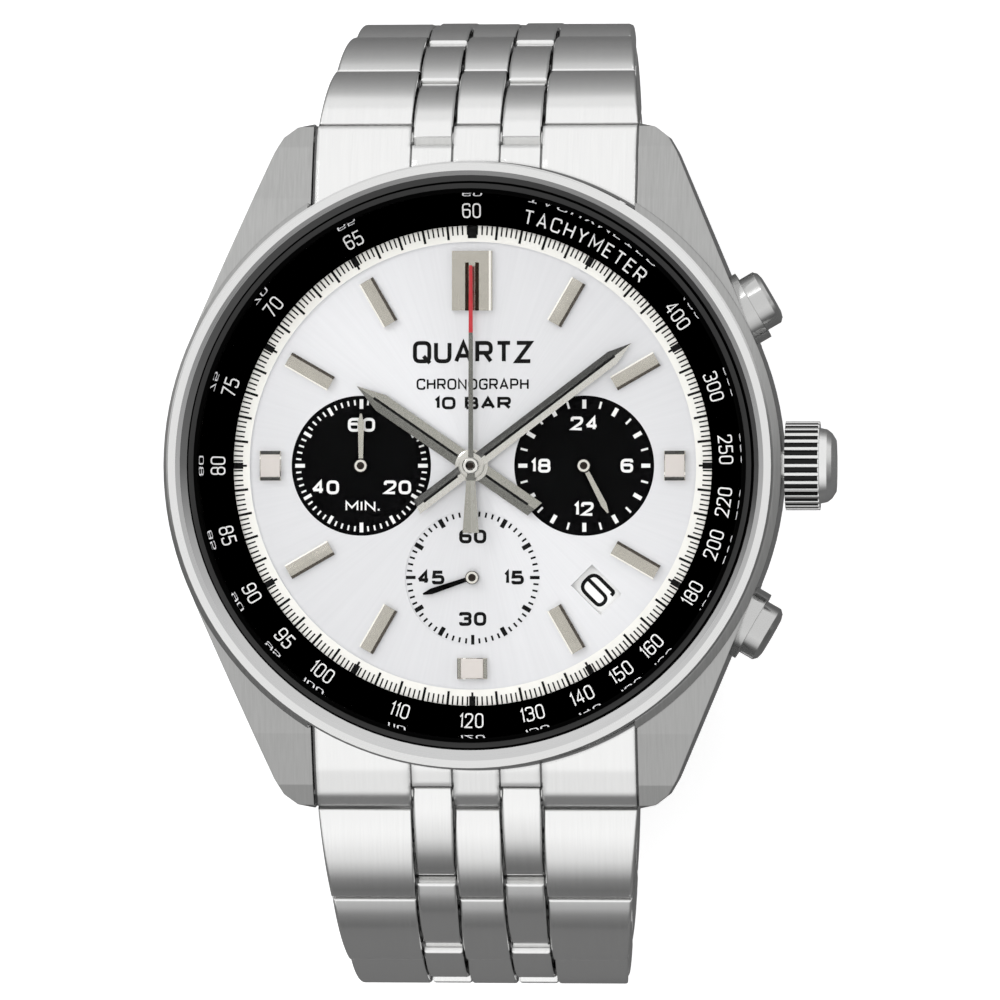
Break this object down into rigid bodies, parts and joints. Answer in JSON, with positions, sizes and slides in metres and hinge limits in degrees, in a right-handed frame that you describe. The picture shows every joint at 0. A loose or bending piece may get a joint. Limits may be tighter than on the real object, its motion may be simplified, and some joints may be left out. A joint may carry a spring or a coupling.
{
  "type": "chronograph wristwatch",
  "caption": "Round steel chronograph wristwatch with tachymeter ring, sub-dials, date window, crown, push buttons and a row-linked bracelet with folding clasp.",
  "frame": {"origin": "centre of the case back's outer face, which rests on the wrist", "axes": "+Z out of the dial towards the viewer, +Y towards 12 o'clock, +X towards 3 o'clock and the crown"},
  "size_m": [0.045, 0.067, 0.0474],
  "materials": {
    "brushed_steel": "fine brushed",
    "polished_steel": "polished",
    "crystal_glass": "clear",
    "black_gasket": "matte",
    "black_ring": "gloss",
    "silver_dial": "sunburst satin",
    "champagne_steel": "polished facets",
    "black_hand": "gloss",
    "holder_plastic": "matte",
    "brass_plate": "satin",
    "board_green": "matte",
    "copper_coil": "wound wire",
    "date_white": "matte",
    "battery_steel": "satin"
  },
  "bodies": {
    "case": {"mid_case": "brushed_steel", "bezel": "polished_steel", "crystal": "crystal_glass", "crystal_gasket": "black_gasket", "case_back": "brushed_steel", "tachymeter_ring": "black_ring", "dial": "silver_dial", "hour_markers": "champagne_steel", "end_link_12": "brushed_steel", "end_link_6": "brushed_steel", "lug_spring_bars": "brushed_steel", "main_plate": "brass_plate", "train_bridge": "brass_plate", "circuit_board": "board_green", "bridge_screws": "polished_steel", "stator": "brushed_steel", "drive_coil": "copper_coil", "battery": "battery_steel", "movement_holder": "holder_plastic", "crown_tube": "polished_steel", "pusher_tubes": "polished_steel"},
    "minutes": {"minute_hand": "polished_steel", "center_wheel": "brass_plate"},
    "third": {"third_wheel": "brass_plate"},
    "small_seconds": {"small_seconds_hand": "black_hand", "fourth_wheel": "brass_plate"},
    "rotor": {"rotor": "battery_steel"},
    "minute_wheel": {"minute_wheel": "brass_plate"},
    "hours": {"hour_hand": "polished_steel", "hour_wheel": "brass_plate"},
    "hand_24h": {"hand_24h": "champagne_steel", "wheel_24h": "brass_plate"},
    "date": {"date_disc": "date_white"},
    "chrono_seconds": {"chrono_seconds_hand": "polished_steel", "chrono_wheel": "brass_plate"},
    "chrono_intermediate": {"chrono_intermediate_wheel": "brass_plate"},
    "chrono_minutes": {"chrono_minute_hand": "champagne_steel", "chrono_minute_wheel": "brass_plate"},
    "crown_pull": {"setting_lever": "polished_steel"},
    "crown": {"crown": "polished_steel", "stem": "polished_steel"},
    "pusher_upper": {"pusher_upper": "polished_steel"},
    "pusher_lower": {"pusher_lower": "polished_steel"},
    "link_12_1": {"link_12_1": "brushed_steel"},
    "link_12_2": {"link_12_2": "brushed_steel"},
    "link_12_3": {"link_12_3": "brushed_steel"},
    "link_12_4": {"link_12_4": "brushed_steel"},
    "link_12_5": {"link_12_5": "brushed_steel"},
    "link_12_6": {"link_12_6": "brushed_steel"},
    "link_6_1": {"link_6_1": "brushed_steel"},
    "link_6_2": {"link_6_2": "brushed_steel"},
    "link_6_3": {"link_6_3": "brushed_steel"},
    "link_6_4": {"link_6_4": "brushed_steel"},
    "link_6_5": {"link_6_5": "brushed_steel"},
    "link_6_6": {"link_6_6": "brushed_steel"},
    "clasp_outer_blade": {"clasp_blade_outer": "polished_steel"},
    "clasp_inner_blade": {"clasp_blade_inner": "polished_steel"},
    "clasp_cover": {"clasp_cover": "brushed_steel"},
    "clasp_button_right": {"clasp_button_right": "polished_steel"},
    "clasp_button_left": {"clasp_button_left": "polished_steel"}
  },
  "joints": [
    {"name": "minute_turn", "type": "hinge", "parent": "case", "child": "minutes", "pos_m": [0, 0, 0.006], "axis": [0, 0, -1], "continuous": true},
    {"name": "third_turn", "type": "hinge", "parent": "case", "child": "third", "pos_m": [0.00115, -0.00409, 0.006], "axis": [0, 0, -1], "continuous": true},
    {"name": "small_seconds_turn", "type": "hinge", "parent": "case", "child": "small_seconds", "pos_m": [0, -0.0075, 0.006], "axis": [0, 0, -1], "continuous": true},
    {"name": "rotor_turn", "type": "hinge", "parent": "case", "child": "rotor", "pos_m": [0.00319, -0.00866, 0.006], "axis": [0, 0, -1], "continuous": true},
    {"name": "minute_wheel_turn", "type": "hinge", "parent": "case", "child": "minute_wheel", "pos_m": [0.00241, 0.00179, 0.006], "axis": [0, 0, -1], "continuous": true},
    {"name": "hour_turn", "type": "hinge", "parent": "case", "child": "hours", "pos_m": [0, 0, 0.006], "axis": [0, 0, -1], "continuous": true},
    {"name": "hand_24h_turn", "type": "hinge", "parent": "case", "child": "hand_24h", "pos_m": [0.0075, 0, 0.006], "axis": [0, 0, -1], "continuous": true},
    {"name": "date_turn", "type": "hinge", "parent": "case", "child": "date", "pos_m": [0, 0, 0.006], "axis": [0, 0, -1], "continuous": true},
    {"name": "chrono_seconds_turn", "type": "hinge", "parent": "case", "child": "chrono_seconds", "pos_m": [0, 0, 0.006], "axis": [0, 0, -1], "continuous": true},
    {"name": "chrono_intermediate_turn", "type": "hinge", "parent": "case", "child": "chrono_intermediate", "pos_m": [-0.00361, -0.00197, 0.006], "axis": [0, 0, -1], "continuous": true},
    {"name": "chrono_minute_turn", "type": "hinge", "parent": "case", "child": "chrono_minutes", "pos_m": [-0.0075, 0, 0.006], "axis": [0, 0, -1], "continuous": true},
    {"name": "crown_pull", "type": "slide", "parent": "case", "child": "crown_pull", "axis": [1, 0, 0], "range_m": [0, 0.0016]},
    {"name": "crown_turn", "type": "hinge", "parent": "crown_pull", "child": "crown", "pos_m": [0.022, 0, 0.005], "axis": [1, 0, 0], "continuous": true},
    {"name": "pusher_upper_press", "type": "slide", "parent": "case", "child": "pusher_upper", "axis": [-0.866, -0.5, 0], "range_m": [0, 0.0009], "stiffness_N_per_m": 1500},
    {"name": "pusher_lower_press", "type": "slide", "parent": "case", "child": "pusher_lower", "axis": [-0.866, 0.5, 0], "range_m": [0, 0.0009], "stiffness_N_per_m": 1500},
    {"name": "hinge_12_1", "type": "hinge", "parent": "case", "child": "link_12_1", "pos_m": [0, 0.022, 0.0034], "axis": [1, 0, 0], "range_deg": [0, 32]},
    {"name": "hinge_12_2", "type": "hinge", "parent": "link_12_1", "child": "link_12_2", "pos_m": [0, 0.02591, -0.0024], "axis": [1, 0, 0], "range_deg": [0, 11]},
    {"name": "hinge_12_3", "type": "hinge", "parent": "link_12_2", "child": "link_12_3", "pos_m": [0, 0.02865, -0.00885], "axis": [1, 0, 0], "range_deg": [0, 14]},
    {"name": "hinge_12_4", "type": "hinge", "parent": "link_12_3", "child": "link_12_4", "pos_m": [0, 0.02974, -0.01576], "axis": [1, 0, 0], "range_deg": [0, 9.6]},
    {"name": "hinge_12_5", "type": "hinge", "parent": "link_12_4", "child": "link_12_5", "pos_m": [0, 0.02967, -0.02276], "axis": [1, 0, 0], "range_deg": [0, 34.7]},
    {"name": "hinge_12_6", "type": "hinge", "parent": "link_12_5", "child": "link_12_6", "pos_m": [0, 0.02563, -0.02847], "axis": [1, 0, 0], "range_deg": [0, 17.7]},
    {"name": "hinge_6_1", "type": "hinge", "parent": "case", "child": "link_6_1", "pos_m": [0, -0.022, 0.0034], "axis": [-1, 0, 0], "range_deg": [0, 3]},
    {"name": "hinge_6_2", "type": "hinge", "parent": "link_6_1", "child": "link_6_2", "pos_m": [0, -0.02824, 0.00022], "axis": [-1, 0, 0], "range_deg": [0, 23]},
    {"name": "hinge_6_3", "type": "hinge", "parent": "link_6_2", "child": "link_6_3", "pos_m": [0, -0.03274, -0.00514], "axis": [-1, 0, 0], "range_deg": [0, 23]},
    {"name": "hinge_6_4", "type": "hinge", "parent": "link_6_3", "child": "link_6_4", "pos_m": [0, -0.03478, -0.01183], "axis": [-1, 0, 0], "range_deg": [0, 30.5]},
    {"name": "hinge_6_5", "type": "hinge", "parent": "link_6_4", "child": "link_6_5", "pos_m": [0, -0.03315, -0.01864], "axis": [-1, 0, 0], "range_deg": [0, 22.4]},
    {"name": "hinge_6_6", "type": "hinge", "parent": "link_6_5", "child": "link_6_6", "pos_m": [0, -0.02904, -0.02431], "axis": [-1, 0, 0], "range_deg": [0, 24.1]},
    {"name": "clasp_end_hinge", "type": "hinge", "parent": "link_6_6", "child": "clasp_outer_blade", "pos_m": [0, -0.02298, -0.02781], "axis": [-1, 0, 0], "range_deg": [0, 12]},
    {"name": "clasp_fold", "type": "hinge", "parent": "clasp_outer_blade", "child": "clasp_inner_blade", "pos_m": [0, 0.01262, -0.03353], "axis": [1, 0, 0], "range_deg": [0, 100]},
    {"name": "clasp_cover_hinge", "type": "hinge", "parent": "clasp_inner_blade", "child": "clasp_cover", "pos_m": [0, -0.01936, -0.02906], "axis": [-1, 0, 0], "range_deg": [0, 100]},
    {"name": "clasp_button_right_press", "type": "slide", "parent": "clasp_cover", "child": "clasp_button_right", "axis": [-1, 0, 0], "range_m": [0, 0.0005], "stiffness_N_per_m": 1500},
    {"name": "clasp_button_left_press", "type": "slide", "parent": "clasp_cover", "child": "clasp_button_left", "axis": [1, 0, 0], "range_m": [0, 0.0005], "stiffness_N_per_m": 1500}
  ],
  "couplings": [
    {"joint": "third_turn", "follows": "minute_turn", "ratio": -7.5},
    {"joint": "small_seconds_turn", "follows": "minute_turn", "ratio": 60},
    {"joint": "rotor_turn", "follows": "minute_turn", "ratio": -450},
    {"joint": "minute_wheel_turn", "follows": "minute_turn", "ratio": -0.33333},
    {"joint": "hour_turn", "follows": "minute_turn", "ratio": 0.083333},
    {"joint": "hand_24h_turn", "follows": "minute_turn", "ratio": 0.041667},
    {"joint": "date_turn", "follows": "minute_turn", "ratio": 0.0013441},
    {"joint": "chrono_intermediate_turn", "follows": "chrono_seconds_turn", "ratio": -0.13333},
    {"joint": "chrono_minute_turn", "follows": "chrono_seconds_turn", "ratio": 0.016667},
    {"joint": "clasp_cover_hinge", "follows": "clasp_fold", "ratio": 1}
  ]
}
